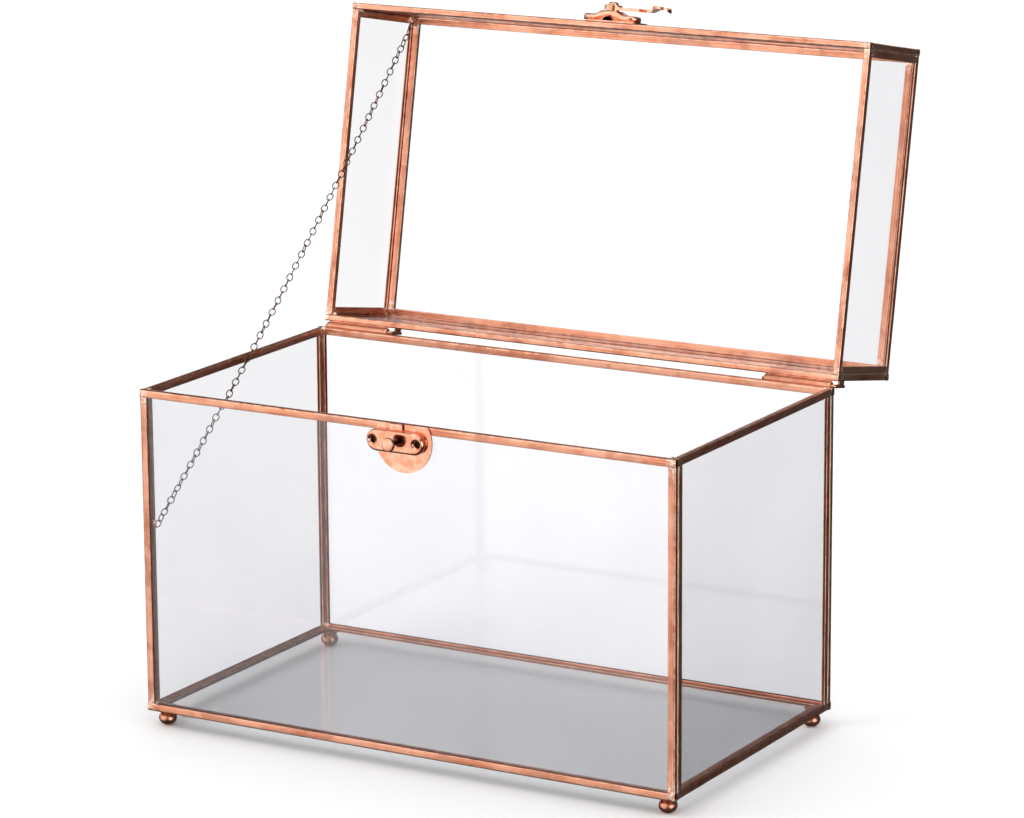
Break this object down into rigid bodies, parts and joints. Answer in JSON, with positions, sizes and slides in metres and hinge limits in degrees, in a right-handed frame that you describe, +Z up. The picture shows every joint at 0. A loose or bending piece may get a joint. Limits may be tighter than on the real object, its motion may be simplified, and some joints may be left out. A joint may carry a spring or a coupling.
{
  "type": "hinged glass card box",
  "caption": "Clear glass card box in folded copper edging, with a hinged glass lid held open by a fine ring chain, a swing latch and ball feet.",
  "frame": {"origin": "on the surface that the feet stand on, midway along the width and midway between the front of the knob and the back of the open lid", "axes": "+Z up, +X along the front to the right, +Y from the front to the hinges"},
  "size_m": [0.26, 0.2369, 0.3034],
  "materials": {
    "clear_glass": "clear, polished",
    "edging_copper": "brushed rose copper",
    "foot_copper": "soldered, plated rose copper",
    "hinge_copper": "drawn tube and rod, plated rose copper",
    "latch_copper": "stamped sheet, plated rose copper",
    "chain_bronze": "dark antique bronze"
  },
  "bodies": {
    "body": {"body_front_pane": "clear_glass", "body_front_edging": "edging_copper", "body_rear_pane": "clear_glass", "body_rear_edging": "edging_copper", "body_left_pane": "clear_glass", "body_left_edging": "edging_copper", "body_right_pane": "clear_glass", "body_right_edging": "edging_copper", "body_floor_pane": "clear_glass", "body_floor_edging": "edging_copper", "foot_front_left": "foot_copper", "foot_front_right": "foot_copper", "foot_rear_left": "foot_copper", "foot_rear_right": "foot_copper", "hinge_tube_left": "hinge_copper", "hinge_tube_right": "hinge_copper", "keeper_backplate": "latch_copper", "keeper_plate": "latch_copper", "keeper_knob": "latch_copper", "chain_eye_body": "chain_bronze"},
    "lid": {"lid_front_pane": "clear_glass", "lid_front_edging": "edging_copper", "lid_rear_pane": "clear_glass", "lid_rear_edging": "edging_copper", "lid_left_pane": "clear_glass", "lid_left_edging": "edging_copper", "lid_right_pane": "clear_glass", "lid_right_edging": "edging_copper", "lid_roof_pane": "clear_glass", "lid_roof_edging": "edging_copper", "hinge_rod_left": "hinge_copper", "hinge_rod_right": "hinge_copper", "latch_backplate": "latch_copper", "latch_bridge": "latch_copper", "latch_rivet": "latch_copper", "latch_washer": "latch_copper", "chain_eye_lid": "chain_bronze"},
    "latch_lever": {"latch_lever": "latch_copper"},
    "chain_lower": {"chain_lower": "chain_bronze"},
    "chain_run": {"chain_run": "chain_bronze"},
    "chain_upper": {"chain_upper": "chain_bronze"}
  },
  "joints": [
    {"name": "lid_hinge", "type": "hinge", "parent": "body", "child": "lid", "pos_m": [0, 0.03819, 0.1507], "axis": [-1, 0, 0], "range_deg": [-101.1, 0]},
    {"name": "latch_pivot", "type": "hinge", "parent": "lid", "child": "latch_lever", "pos_m": [0, 0.07558, 0.29398], "axis": [0, 0.1925, 0.9813], "range_deg": [-90, 90]},
    {"name": "chain_lower_swing", "type": "hinge", "parent": "body", "child": "chain_lower", "pos_m": [-0.12505, -0.10321, 0.092], "axis": [1, 0, 0], "range_deg": [-109.1, 0]},
    {"name": "chain_run_swing", "type": "hinge", "parent": "chain_lower", "child": "chain_run", "pos_m": [-0.12505, -0.04136, 0.14216], "axis": [0.9584, 0.184, -0.2181], "range_deg": [0, 69.75]},
    {"name": "chain_upper_swing", "type": "hinge", "parent": "lid", "child": "chain_upper", "pos_m": [-0.12505, 0.11095, 0.28052], "axis": [0.999, 0.0306, -0.0335], "range_deg": [-39.17, 0]}
  ],
  "couplings": [
    {"joint": "chain_lower_swing", "follows": "lid_hinge", "ratio": 1.0791},
    {"joint": "chain_run_swing", "follows": "lid_hinge", "ratio": -0.68981},
    {"joint": "chain_upper_swing", "follows": "lid_hinge", "ratio": 0.38743}
  ]
}
